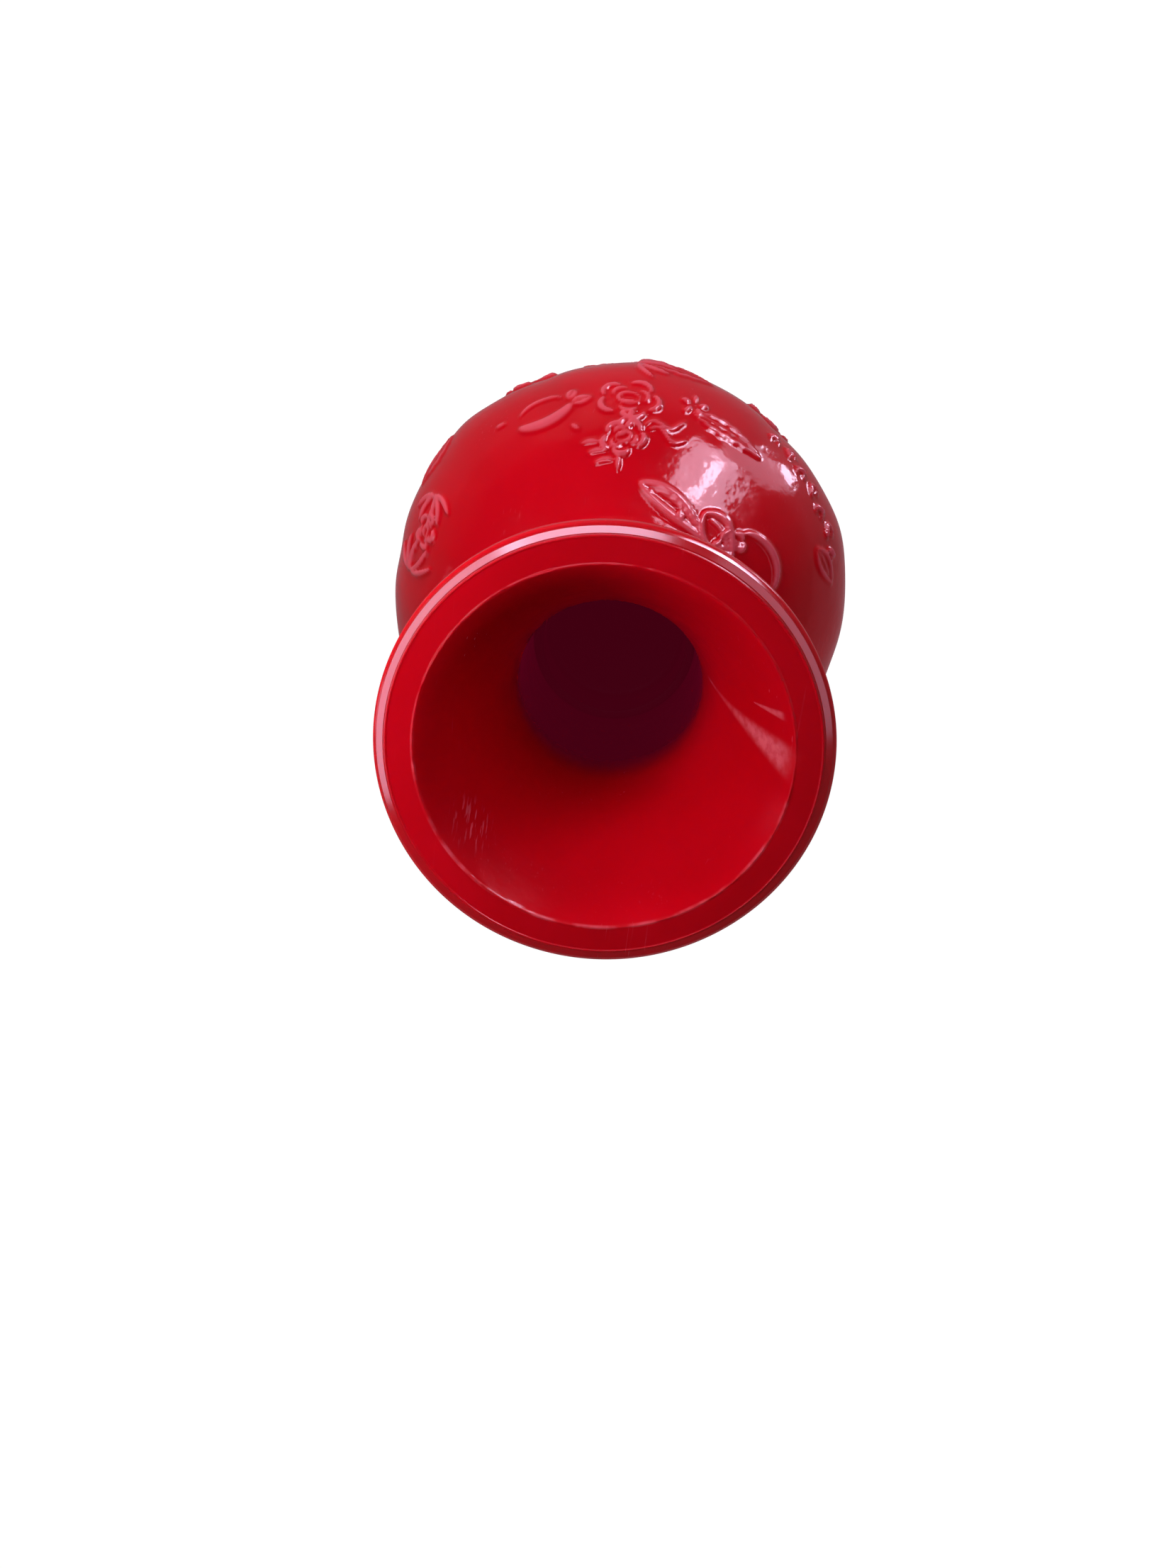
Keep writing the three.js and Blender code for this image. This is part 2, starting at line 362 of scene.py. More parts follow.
def rose(size):
    """An eye-shaped heart with one fold in it, and two rings of petals. Each petal is a bow about a
    point of its own on the ring, so that the outline is scalloped."""
    heart = [
        (bow((0, 0), (0.36 * size, 0.24 * size), 0, 360, 18), FINE, MIDDLE),
        (bow((0, -0.06 * size), (0.2 * size, 0.1 * size), 190, 350), FINE, MIDDLE),
    ]
    rings = [(0.34, 0.3, MIDDLE, (30, 140, 275)), (0.6, 0.4, HIGH, (0, 68, 150, 215, 290))]
    petals = [
        (bow(toward(a, out * size) * (1, 0.82), (reach * size, 0.84 * reach * size), a - 72, a + 68),
         PLAIN, crest)
        for out, reach, crest, places in rings for a in places
    ]
    return heart + petals


def leaf(length, width, teeth=0):
    """Two edges and a midrib."""
    tip = (length, 0)
    return [
        (blade((0, 0), tip, width, teeth), PLAIN, MIDDLE),
        (blade((0, 0), tip, -width, teeth), PLAIN, MIDDLE),
        (ripple((0, 0), (0.8 * length, 0), 0.05 * width, 1), FINE, LOW),
    ]


def bud(length, width):
    """A closed bud: bold outer edges, a sepal inside it and a small curl."""
    return [
        (blade((0, 0), (length, 0.3 * width), width), BOLD, HIGH),
        (blade((0, 0), (length, -0.2 * width), -width), BOLD, HIGH),
        (blade((0.15 * length, 0), (0.95 * length, 0), 0.45 * width), PLAIN, MIDDLE),
        (curl((0.62 * length, -0.4 * width), 0.3 * width, 1.2), PLAIN, HIGH),
    ]


def blossom(size):
    """Five short petals round a dot."""
    petals = [(line(toward(a, 0.35 * size), toward(a, size), 3), PLAIN, HIGH) for a in range(18, 378, 72)]
    return petals + [(line((-0.1, 0), (0.1, 0), 1), FINE, MIDDLE)]


def stems(length):
    """Two rippled stems that part from one another."""
    return [
        (ripple((0, 0), (length, 1.2), 0.7, 1.25), FINE, MIDDLE),
        (ripple((0.6, -0.6), (length, -1.6), 0.8, 1.1), FINE, MIDDLE),
    ]


def dashes(length):
    """Three short leaves in a row, each a little further on and turned."""
    return [
        (ripple((0.9 * k, -1.7 * k), (0.9 * k + length, -1.4 * k), 0.25, 0.5), PLAIN, MIDDLE)
        for k in range(3)
    ]


def crescents(size):
    """A thin bow and a thick one that face each other like an eye."""
    return [
        (bow((0, 0), (0.75 * size, 0.45 * size), 205, 335), PLAIN, MIDDLE),
        (bow((0, -0.1 * size), (size, 0.62 * size), 35, 145), 1.4, HIGH),
    ]


def drops(count, pitch):
    """A chain of drops that lean left and right in turn."""
    chain = []
    for k in range(count):
        lean = 0.8 if k % 2 else -0.8
        chain.append((line((k * pitch, lean), (k * pitch + 0.55 * pitch, -lean), 3), PLAIN, HIGH))
        chain.append((bow((k * pitch + 0.4 * pitch, lean), (0.9, 0.8), 0, 250), FINE, MIDDLE))
    return chain


def fan(size):
    """A leafy fan: five small blades that spread from one foot."""
    width = 0.13 * size
    return [
        (blade((0, 0), toward(a, size), width if a >= 0 else -width), PLAIN, HIGH) for a in range(-64, 65, 32)
    ]


# %% Where the motifs sit
# Each row is a motif, its place as degrees round the egg and millimetres of arc above (+) or
# below (-) the girth, and its turn in degrees.
FRONT_SPRAY = [
    (rose(4.7), 274, 12.6, 170),
    (rose(3.3), 275, 19.8, 20),
    (blossom(1.6), 274, 16.6, 10),
    (dashes(3.0), 288, 20.4, 176),
    (leaf(3.2, 0.6), 289, 12.4, 190),
    (leaf(2.2, 0.5), 288, 9.6, 60),
    ([(line((0, -1.2), (0, 1.2), 3), PLAIN, MIDDLE)], 276.5, 24.0, 0),
    (stems(6.4), 269, 17.6, 184),
    (blossom(2.2), 257, 11.2, 40),
    (leaf(12.6, 1.0, 6), 257, 12.8, 178),
    (crescents(5.2), 297, 12.0, 8),
    ([(line((0, 0), (1.6, 0.5), 2), PLAIN, MIDDLE)], 310, 11.0, 160),
    ([(line((0, 0), (1.2, 1.0), 2), PLAIN, MIDDLE)], 290, 16.6, 90),
    (bud(12.0, 1.35), 268, 26.9, 163),
    (bud(8.0, 2.2), 240, 27.2, 160),
    (rose(2.2), 224, 27.6, 60),
    ([(bow((0, 0), (5.4, 3.6), 200, 330), BOLD, HIGH)], 212, 26.0, 5),
    (drops(7, 3.3), 236, 5.4, 167),
    (leaf(7.0, 1.3), 206, 13.6, 200),
    (fan(5.0), 334, 11.4, 20),
    (rose(2.6), 343, 13.4, 20),
    (fan(5.6), 355, 11.6, 170),
    (leaf(9.0, 1.6, 5), 322, 2.0, 12),
    (fan(5.6), 272, 2.0, 176),
    (leaf(10.5, 1.5, 5), 270, 1.8, 178),
    (rose(4.4), 300, -6.4, 0),
    (rose(4.6), 236, -6.4, 30),
]
LOWER_BAND = [
    (rose(5.6), 0, -15.0, 0),
    (leaf(9.0, 1.8, 5), 12, -17.0, -30),
    (leaf(8.0, 1.6), -12, -17.0, 210),
    (stems(6.0), 8, -10.4, 12),
    (crescents(4.6), 26, -23.0, 10),
    (drops(3, 3.2), -8, -26.0, 0),
]


def repeated(band, turns):
    """The same motifs again at each turn round the egg."""
    return [(motif, place + turn, rise, lean) for turn in turns for motif, place, rise, lean in band]


MOTIFS = FRONT_SPRAY + repeated(FRONT_SPRAY, [176]) + repeated(LOWER_BAND, range(0, 360, 45))
print(len(MOTIFS), "motifs")


# %% Raise the ridges
def ridge(x, y, path, half_width, crest):
    """Height of a ridge: crest (1 - (d / w)^2)^1.5 at distance d from the path, where w is the half
    width, narrowed towards both ends of the stroke."""
    a = path[:-1]
    ab = np.diff(path, axis=0)
    ap = np.stack([x, y], axis=-1)[:, None, :] - a[None]
    share = np.clip((ap * ab).sum(-1) / (ab**2).sum(-1), 0, 1)
    gap = np.linalg.norm(ap - share[..., None] * ab, axis=-1)
    nearest = gap.argmin(axis=1)
    pick = np.arange(len(x))
    t = (nearest + share[pick, nearest]) / len(ab)
    narrowed = half_width * (0.5 + 0.5 * np.sqrt(np.clip(np.sin(np.pi * t), 0, 1)))
    closeness = np.clip(1 - (gap[pick, nearest] / narrowed) ** 2, 0, 1)
    return crest * (0.55 + 0.45 * np.sqrt(np.clip(np.sin(np.pi * t), 0, 1))) * closeness**1.5


def relief(angle, rise, radius, motifs):
    """Height map over rows (rise along the egg, with its radius) and columns (angle round it). Near
    a motif the surface is taken as flat: x = angle times radius, y = rise, turned by the motif."""
    height = np.zeros((len(rise), len(angle)))
    for strokes, place, level, lean in motifs:
        x = (angle[None, :] - np.radians(place) + np.pi) % (2 * np.pi) - np.pi
        x = x * radius[:, None]
        y = np.broadcast_to(rise[:, None] - level, x.shape)
        reach = max(np.abs(path).max() for path, _, _ in strokes) * 1.45 + 1.5
        near = (x**2 + y**2) < reach**2
        if not near.any():
            continue
        c, s = np.cos(np.radians(lean)), np.sin(np.radians(lean))
        u = x[near] * c + y[near] * s
        v = -x[near] * s + y[near] * c
        tallest = np.zeros(len(u))
        for path, half_width, crest in strokes:
            tallest = np.maximum(tallest, ridge(u, v, path, half_width, crest))
        height[near] = np.maximum(height[near], tallest)
    return height


# %% [markdown]
# The real egg isn't perfectly round: where the densest flowers are, the whole wall swells by about
# half a millimetre, and it falls back between them.

# %% The wall's slow swell
SWELLS = [(205, 9, 0.5), (268, 10, 0.55), (318, 7, 0.5), (234, 7, -0.45), (296, 5, -0.3), (354, 6, -0.4),
          (25, 10, 0.5), (88, 10, 0.5), (138, 8, 0.45), (54, 8, -0.4), (116, 6, -0.3), (170, 8, -0.35)]


def swell(angle, rise):
    """Sum of bell curves round the egg, each fading with the square of the distance from the girth."""
    away = (np.degrees(angle)[None, :, None] - np.array([s[0] for s in SWELLS]) + 180) % 360 - 180
    spread = np.array([s[1] for s in SWELLS])
    tall = np.array([s[2] for s in SWELLS])
    round_egg = (tall * np.exp(-((away / spread) ** 2))).sum(-1)
    return round_egg * np.exp(-((rise[:, None] / 17) ** 2))


# %% [markdown]
# ## The egg shells
# The upper shell is the neck collar, shoulder and dome. The lower shell is the bowl and its flat
# foot. They meet in a spigot joint below the girth, which shows as a hairline.

# %% Outlines of the two egg shells
RELIEF_STEP = 0.4  # spacing of the rows that carry relief
NECK_STEP = 0.6
DOME_END = 19  # radius where the dome runs out into the shoulder
INNER_DOME_END = 22
NECK_FOOT_Z = 72
COLLAR_FOOT_Z = 67


def dome_point(radius, girth, rise):
    """Height and slope of the dome's ellipse at a radius."""
    share = math.sqrt(1 - (radius / girth) ** 2)
    return GIRTH_Z + rise * share, (rise / girth) * (radius / girth) / share


def angle_at(height, semi_axis):
    """Degrees up an ellipse at which it reaches a height above its centre."""
    return math.degrees(math.asin(height / semi_axis))


def even(points, step):
    """The same run again with points a given step of arc apart."""
    along = np.concatenate([[0], np.cumsum(np.linalg.norm(np.diff(points, axis=0), axis=1))])
    fresh = np.linspace(0, along[-1], max(2, int(round(along[-1] / step)) + 1))
    return np.stack([np.interp(fresh, along, points[:, k]) for k in (0, 1)], axis=1)


SEAM_RADIUS = GIRTH_RADIUS * math.sqrt(1 - ((GIRTH_Z - SEAM_Z) / BOWL_DROP) ** 2)


def upper_outline():
    """Outer wall first, from the seam to the collar, then down the inside. Returns the outline and
    how many of its first points are outer wall."""
    shoulder_z, slope = dome_point(DOME_END, GIRTH_RADIUS, DOME_RISE)
    seam_angle = angle_at(GIRTH_Z - SEAM_Z - 0.3, BOWL_DROP)
    skirt = arc((0, GIRTH_Z), (GIRTH_RADIUS, BOWL_DROP), -seam_angle, 0, 40)
    dome = arc((0, GIRTH_Z), (GIRTH_RADIUS, DOME_RISE), 0, angle_at(shoulder_z - GIRTH_Z, DOME_RISE), 120)
    neck = sweep((DOME_END, shoulder_z), (DOME_END - 2, shoulder_z + 2 * slope),
                 (NECK_RADIUS, NECK_FOOT_Z - 5), (NECK_RADIUS, NECK_FOOT_Z), 40)
    outer = outline(even(outline(skirt, dome), RELIEF_STEP), even(neck, NECK_STEP))
    top = COLLAR_TOP + 0.1
    collar_bore = STEM_RADIUS + 0.3
    inner_girth, inner_rise = GIRTH_RADIUS - WALL, DOME_RISE - WALL
    inner_z, inner_slope = dome_point(INNER_DOME_END, inner_girth, inner_rise)
    inside = outline(
        line((collar_bore, top - 0.3), (collar_bore, COLLAR_FOOT_Z), 4),
        sweep((collar_bore, COLLAR_FOOT_Z), (collar_bore, COLLAR_FOOT_Z - 2.4),
              (INNER_DOME_END - 4, inner_z + 4 * inner_slope), (INNER_DOME_END, inner_z), 8),
        arc((0, GIRTH_Z), (inner_girth, inner_rise), angle_at(inner_z - GIRTH_Z, inner_rise), 0, 12),
    )
    socket_top = SEAM_Z + SPIGOT_HEIGHT + 0.15
    socket = SEAM_RADIUS - SEAM_SKIN
    lip_z = SEAM_Z + SEAM_SLIT
    return outline(
        outer,
        line((NECK_RADIUS, NECK_FOOT_Z + 1), (NECK_RADIUS, top - 0.25), 6),
        eased((NECK_RADIUS, top), (NECK_RADIUS, NECK_FOOT_Z), (collar_bore, top), 0.25),
        inside,
        (inner_girth, socket_top),
        (socket, socket_top),
        line((socket, socket_top - 0.3), (socket, lip_z + 0.3), 2),
        (socket, lip_z),
        (SEAM_RADIUS - 0.3, lip_z),
    ), len(outer)


def lower_outline():
    """From the centre of the foot, up the outer wall to the seam, over the spigot and down the
    inside to the axis. Returns the outline and the span of it that is outer wall."""
    start_z = 1.1  # where the bowl's curve begins, above the foot's eased edge
    start_radius = GIRTH_RADIUS * math.sqrt(1 - ((GIRTH_Z - start_z) / BOWL_DROP) ** 2)
    flat = (FOOT_RADIUS - 0.4, 0)
    edge = sweep(flat, (FOOT_RADIUS + 1.2, 0), (start_radius - 0.7, 0.3), (start_radius, start_z), 6)
    foot = outline((0, 0), line((0.8, 0), flat, 8), edge[1:-1])
    bowl = arc((0, GIRTH_Z), (GIRTH_RADIUS, BOWL_DROP),
               -angle_at(GIRTH_Z - start_z, BOWL_DROP), -angle_at(GIRTH_Z - SEAM_Z + 0.3, BOWL_DROP), 200)
    outer = even(bowl, RELIEF_STEP)
    spigot = SEAM_RADIUS - SEAM_SKIN - 0.3
    spigot_top = SEAM_Z + SPIGOT_HEIGHT - 0.15
    ledge = SEAM_Z - SEAM_SLIT
    inner_girth, inner_drop = GIRTH_RADIUS - WALL, BOWL_DROP - WALL
    inside = arc((0, GIRTH_Z), (inner_girth, inner_drop),
                 -angle_at(GIRTH_Z - spigot_top, inner_drop), -angle_at(GIRTH_Z - WALL, inner_drop), 16)
    return outline(
        foot, outer,
        (SEAM_RADIUS - 0.3, ledge), (spigot, ledge),
        line((spigot, ledge + 0.3), (spigot, spigot_top - 0.2), 2),
        (spigot - 0.2, spigot_top),
        inside, line((12, WALL), (0.8, WALL), 6), (0, WALL),
    ), (len(foot), len(foot) + len(outer))


# %% Make the egg shells
SHELL_COLUMNS = 600
FOOT_CLEAR_Z, NECK_CLEAR_Z = 3, 77  # the relief stays between these heights
SEAM_FADE = 0.9  # and sinks over this distance towards the seam


def rise_along(points):
    """Arc length of each outer wall point above the girth, which is its widest point."""
    along = np.concatenate([[0], np.cumsum(np.linalg.norm(np.diff(points, axis=0), axis=1))])
    at_girth = np.interp(GIRTH_Z, points[:, 1], along)
    return along - at_girth


def decorated(name, profile, first, last, closed):
    """Turns a shell whose outer wall carries relief and swell, and stores the relief's share of its
    full height as a point attribute for the material."""
    angle = np.linspace(0, 2 * np.pi, SHELL_COLUMNS, endpoint=False)
    wall = profile[first:last]
    rise = rise_along(wall) if wall[-1, 1] > GIRTH_Z else rise_along(wall) - rise_to_seam
    raised = relief(angle, rise, wall[:, 0], MOTIFS)
    from_seam = np.abs(wall[:, 1] - SEAM_Z)
    raised *= np.clip(from_seam / SEAM_FADE, 0, 1)[:, None] ** 0.5
    raised *= np.clip((wall[:, 1] - FOOT_CLEAR_Z) / 2, 0, 1)[:, None]
    raised *= np.clip((NECK_CLEAR_Z - wall[:, 1]) / 2, 0, 1)[:, None]
    push = np.zeros((len(profile), SHELL_COLUMNS))
    push[first:last] = raised + swell(angle, rise)
    piece = turned(name, profile, SHELL_COLUMNS, closed, push)
    crest = np.zeros((len(profile), SHELL_COLUMNS))
    crest[first:last] = raised / HIGH
    values = crest.ravel() if closed else np.concatenate([crest[1:-1].ravel(), [0, 0]])
    store = piece.data.attributes.new("crest", "FLOAT", "POINT")
    store.data.foreach_set("value", values.astype(np.float32))
    return piece


bowl_run = arc((0, GIRTH_Z), (GIRTH_RADIUS, BOWL_DROP), -angle_at(GIRTH_Z - SEAM_Z, BOWL_DROP), 0, 40)
rise_to_seam = np.linalg.norm(np.diff(bowl_run, axis=0), axis=1).sum()
upper_profile, upper_outer = upper_outline()
upper_shell = decorated("upper_egg_shell_moulding", upper_profile, 0, upper_outer, True)
lower_profile, lower_span = lower_outline()
lower_shell = decorated("lower_egg_shell_moulding", lower_profile, *lower_span, False)

# %% [markdown]
# ## The plug and the shot
# A rubber bung, painted near black as painted shade, closes the bore far down the throat, with a thin
# skirt that grips the wall.
# The shot is tumbled steel: round, but with faint flats, so each ball gets a few seeded dents.


# %% Make the throat plug
def plug_outline():
    """Flange, skirt and cup, from the middle of the underside to the middle of the cup's floor."""
    bottom, top = plug_low[2], plug_high[2]
    flange_top = STEM_END - 0.3
    skirt = BORE_RADIUS - 0.3
    inside = skirt - 1.5
    return outline(
        (0, bottom), line((0.8, bottom), (STEM_RADIUS - 0.6, bottom), 6),
        eased((STEM_RADIUS, bottom), (0, bottom), (STEM_RADIUS, top), 0.4),
        eased((STEM_RADIUS, flange_top), (STEM_RADIUS, bottom), (0, flange_top), 0.4),
        (skirt + 0.3, flange_top), (skirt, flange_top + 0.3),
        arc((skirt - 0.25, flange_top + 2.2), (0.4, 0.5), -60, 60, 6),
        arc((skirt - 0.25, flange_top + 4.6), (0.4, 0.5), -60, 60, 6),
        eased((skirt, top), (skirt, bottom), (inside, top), 0.5),
        eased((inside, top), (skirt, top), (inside, bottom), 0.4),
        line((inside, top - 0.8), (inside, flange_top + 1.0), 6),
        arc((inside - 1.0, flange_top + 1.0), (1.0, 1.0), 0, -90, 5),
        line((inside - 1.4, flange_top), (0.8, flange_top), 8), (0, flange_top),
    )


plug = turned("throat_plug_rubber", plug_outline(), 160, closed=False)


# %% Make the shot
DENT_DEPTH = 0.02  # as a share of the radius


def ball(name, centre, radius, seed):
    """A sphere of latitude rows, dented by a few seeded cosine bumps: r (1 - depth * cos^n of the
    angle from each bump)."""
    rng = np.random.default_rng(seed)
    rows, columns = 18, 28
    lat = np.linspace(-np.pi / 2, np.pi / 2, rows)[:, None]
    lon = np.linspace(0, 2 * np.pi, columns, endpoint=False)[None, :]
    x, y = np.cos(lat) * np.cos(lon), np.cos(lat) * np.sin(lon)
    way = np.stack(np.broadcast_arrays(x, y, np.sin(lat)), -1)
    bumps = rng.normal(size=(7, 3))
    bumps /= np.linalg.norm(bumps, axis=1)[:, None]
    dent = (np.clip(way @ bumps.T, 0, 1) ** 14).sum(-1)
    points = centre + way * (radius * (1 - DENT_DEPTH * dent))[..., None]
    body, poles = points[1:-1].reshape(-1, 3), points[[0, -1], 0]
    inner = rows - 2
    quads = grid_faces(inner, columns, False)
    return write_mesh(name, np.vstack([body, poles]), quads, pole_fans(inner, columns))


pellet_nodes = sorted(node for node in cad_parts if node.startswith("pellet_"))
pellet_balls = {}
for number, node in enumerate(pellet_nodes):
    low, high = corners(node)
    pellet_balls[node] = ball(f"{node}_shot", (low + high) / 2, (high - low)[2] / 2, number)

# %% [markdown]
# ## Materials
# Three effects are shared, so each is a node group: the uneven tone of moulded plastic, the wear
# that hands leave (fine scratches, smudges, a slight ripple in the gloss) and dust.


# %% Small helpers for node trees
def add(tree, kind, **values):
    """Adds a node. A value named like a socket (with _ for a space) sets the socket, and any other
    sets a property of the node."""
    node = tree.nodes.new(kind)
    for key, value in values.items():
        label = key.replace("_", " ")
        if label in node.inputs:
            node.inputs[label].default_value = value
        else:
            setattr(node, key, value)
    return node


def new_group(name, inputs, outputs):
    """A shader node group with named sockets. Returns the tree, its input node and output node."""
    group = bpy.data.node_groups.new(name, "ShaderNodeTree")
    for label, kind, default in inputs:
        socket = group.interface.new_socket(label, in_out="INPUT", socket_type=kind)
        if default is not None:
            socket.default_value = default
    for label, kind in outputs:
        group.interface.new_socket(label, in_out="OUTPUT", socket_type=kind)
    return group, group.nodes.new("NodeGroupInput"), group.nodes.new("NodeGroupOutput")


def noise(tree, place, **values):
    """A noise texture read at a place. Returns its value."""
    node = add(tree, "ShaderNodeTexNoise", **values)
    tree.links.new(place, node.inputs["Vector"])
    return node.outputs["Fac"]


def stretch(tree, place, turn, scale, shift=(0.0, 0.0, 0.0)):
    """A place turned and stretched, so that a noise read there becomes thin streaks."""
    mapping = add(tree, "ShaderNodeMapping", Rotation=turn, Scale=scale, Location=shift)
    tree.links.new(place, mapping.inputs["Vector"])
    return mapping.outputs["Vector"]


def use_group(tree, group, place, **values):
    """Puts a node group in a material, reads it at a place and sets its values."""
    node = tree.nodes.new("ShaderNodeGroup")
    node.node_tree = group
    tree.links.new(place, node.inputs["Vector"])
    for key, value in values.items():
        node.inputs[key.replace("_", " ")].default_value = value
    return node


def ramp(tree, source, low, high, to_low=0.0, to_high=1.0):
    """Maps a value from one range to another, smoothly and clamped."""
    node = add(tree, "ShaderNodeMapRange", interpolation_type="SMOOTHSTEP", From_Min=low, From_Max=high,
               To_Min=to_low, To_Max=to_high)
    tree.links.new(source, node.inputs["Value"])
    return node.outputs["Result"]


def calc(tree, operation, *terms):
    """A Math node on sockets or plain numbers."""
    node = tree.nodes.new("ShaderNodeMath")
    node.operation = operation
    for slot, term in zip(node.inputs, terms):
        if isinstance(term, (int, float)):
            slot.default_value = term
        else:
            tree.links.new(term, slot)
    return node.outputs[0]


def product(tree, first, *others):
    """Values multiplied together."""
    for other in others:
        first = calc(tree, "MULTIPLY", first, other)
    return first


def bumped(tree, height, strength, distance, under=None):
    """A bump from a height, on top of another one's normal if that is given. Returns its normal."""
    node = add(tree, "ShaderNodeBump", Strength=strength, Distance=distance)
    tree.links.new(height, node.inputs["Height"])
    if under is not None:
        tree.links.new(under, node.inputs["Normal"])
    return node.outputs["Normal"]


def from_axis(tree, place):
    """Distance from the shaker's axis, the root of x squared plus y squared, and then y and z."""
    parts = add(tree, "ShaderNodeSeparateXYZ")
    tree.links.new(place, parts.inputs["Vector"])
    x, y, z = parts.outputs
    squares = calc(tree, "ADD", calc(tree, "MULTIPLY", x, x), calc(tree, "MULTIPLY", y, y))
    return calc(tree, "SQRT", squares), y, z


def mixed(tree, factor, first, second):
    """A colour mix: sockets or plain colours, by a factor socket or number."""
    node = tree.nodes.new("ShaderNodeMix")
    node.data_type = "RGBA"
    for slot, term in ((node.inputs[0], factor), (node.inputs[6], first), (node.inputs[7], second)):
        if isinstance(term, (int, float, tuple)):
            slot.default_value = term
        else:
            tree.links.new(term, slot)
    return node.outputs[2]


# %% Group: the tone of moulded plastic
PLACE = ("Vector", "NodeSocketVector", None)


def tone_group():
    """Colour that drifts between two tones with slow swirls, as pigment does where the melt flowed."""
    group, given, result = new_group(
        "moulded_tone",
        [PLACE, ("Scale", "NodeSocketFloat", 40.0),
         ("Light", "NodeSocketColor", None), ("Deep", "NodeSocketColor", None)],
        [("Color", "NodeSocketColor")],
    )
    flow = add(group, "ShaderNodeTexNoise", Detail=3.0, Roughness=0.45, Distortion=0.8)
    group.links.new(given.outputs["Vector"], flow.inputs["Vector"])
    group.links.new(given.outputs["Scale"], flow.inputs["Scale"])
    share = ramp(group, flow.outputs["Fac"], 0.3, 0.7)
    tone = mixed(group, share, given.outputs["Deep"], given.outputs["Light"])
    group.links.new(tone, result.inputs["Color"])
    return group


# %% Group: handling wear
def wear_group():
    """Height and roughness of smudges, fine scratches in two directions and a faint mould ripple."""
    group, given, result = new_group(
        "handling_wear",
        [PLACE, ("Gloss", "NodeSocketFloat", 0.2), ("Amount", "NodeSocketFloat", 1.0)],
        [("Roughness", "NodeSocketFloat"), ("Height", "NodeSocketFloat"), ("Scratch", "NodeSocketFloat")],
    )
    place = given.outputs["Vector"]
    smudge = noise(group, place, Scale=95.0, Detail=4.0, Roughness=0.6)
    mould_ripple = noise(group, place, Scale=420.0, Detail=2.0, Roughness=0.5)
    lines = []
    for turn_x, turn_z, seed in ((0.4, 0.7, 3.0), (-0.9, 2.1, 9.0)):
        stretched = stretch(group, place, (turn_x, 0.3, turn_z), (2400.0, 60.0, 1500.0), (seed, seed, seed))
        lines.append(ramp(group, noise(group, stretched, Scale=1.0, Detail=1.0), 0.69, 0.75))
    patches = ramp(group, smudge, 0.5, 0.62)
    scratch = product(group, calc(group, "MAXIMUM", *lines), patches, given.outputs["Amount"])
    rough = calc(group, "ADD", given.outputs["Gloss"], ramp(group, smudge, 0.35, 0.75, -0.03, 0.05))
    rough = calc(group, "ADD", rough, calc(group, "MULTIPLY", scratch, 0.25))
    height = calc(group, "SUBTRACT", calc(group, "MULTIPLY", mould_ripple, 0.35), scratch)
    group.links.new(rough, result.inputs["Roughness"])
    group.links.new(height, result.inputs["Height"])
    group.links.new(scratch, result.inputs["Scratch"])
    return group


# %% Group: dust
def dust_group():
    """Specks: the middles of a few Voronoi cells, kept where a slower noise is high."""
    group, given, result = new_group(
        "dust_specks",
        [PLACE, ("Scale", "NodeSocketFloat", 260.0), ("Amount", "NodeSocketFloat", 1.0)],
        [("Mask", "NodeSocketFloat")],
    )
    cells = add(group, "ShaderNodeTexVoronoi", Randomness=1.0)
    group.links.new(given.outputs["Vector"], cells.inputs["Vector"])
    group.links.new(given.outputs["Scale"], cells.inputs["Scale"])
    speck = ramp(group, cells.outputs["Distance"], 0.03, 0.06, 1.0, 0.0)
    some = ramp(group, noise(group, given.outputs["Vector"], Scale=110.0, Detail=1.0), 0.74, 0.78)
    group.links.new(product(group, speck, some, given.outputs["Amount"]), result.inputs["Mask"])
    return group


TONE, WEAR, DUST = tone_group(), wear_group(), dust_group()
print("node groups:", TONE.name, WEAR.name, DUST.name)

# %% [markdown]
# ## Red plastic
# The plastic glows a little where light passes through thin edges, so it has some subsurface
# scattering, with a much longer reach for red than for green or blue. Crests of the relief are
# painted paler, partly as rubbed wear and partly as a painted highlight; the flash at the mouth
# carries a pale painted highlight on one side, and two pale streaks on the funnel are painted
# highlights. The funnel is scuffed and the lip's bevel is polished. The bore is painted dark maroon
# as painted shade, with a faint painted glow. One function makes the plastic of the bell and of the
# shells, and masks say where each effect lies.

# %% Material: red moulded plastic
RED_LIGHT = (0.68, 0.001, 0.011, 1)
RED_DEEP = (0.6, 0.0006, 0.008, 1)
THROAT_PAINTED_SHADE = (0.03, 0.0002, 0.003, 1)
THROAT_PAINTED_GLOW = (0.05, 0.0003, 0.0056, 1)
PALE_WEAR_AND_HIGHLIGHT = (0.9, 0.14, 0.2, 1)
DUST_COLOR = (0.8, 0.66, 0.62, 1)


def new_material(name, roughness=0.3, metallic=0.0):
    """An empty node material with one Principled shader. Returns the material, tree and shader."""
    material = bpy.data.materials.new(name)
    material.use_nodes = True
    tree = material.node_tree
    shader = tree.nodes["Principled BSDF"]
    shader.inputs["Roughness"].default_value = roughness
    shader.inputs["Metallic"].default_value = metallic
    return material, tree, shader


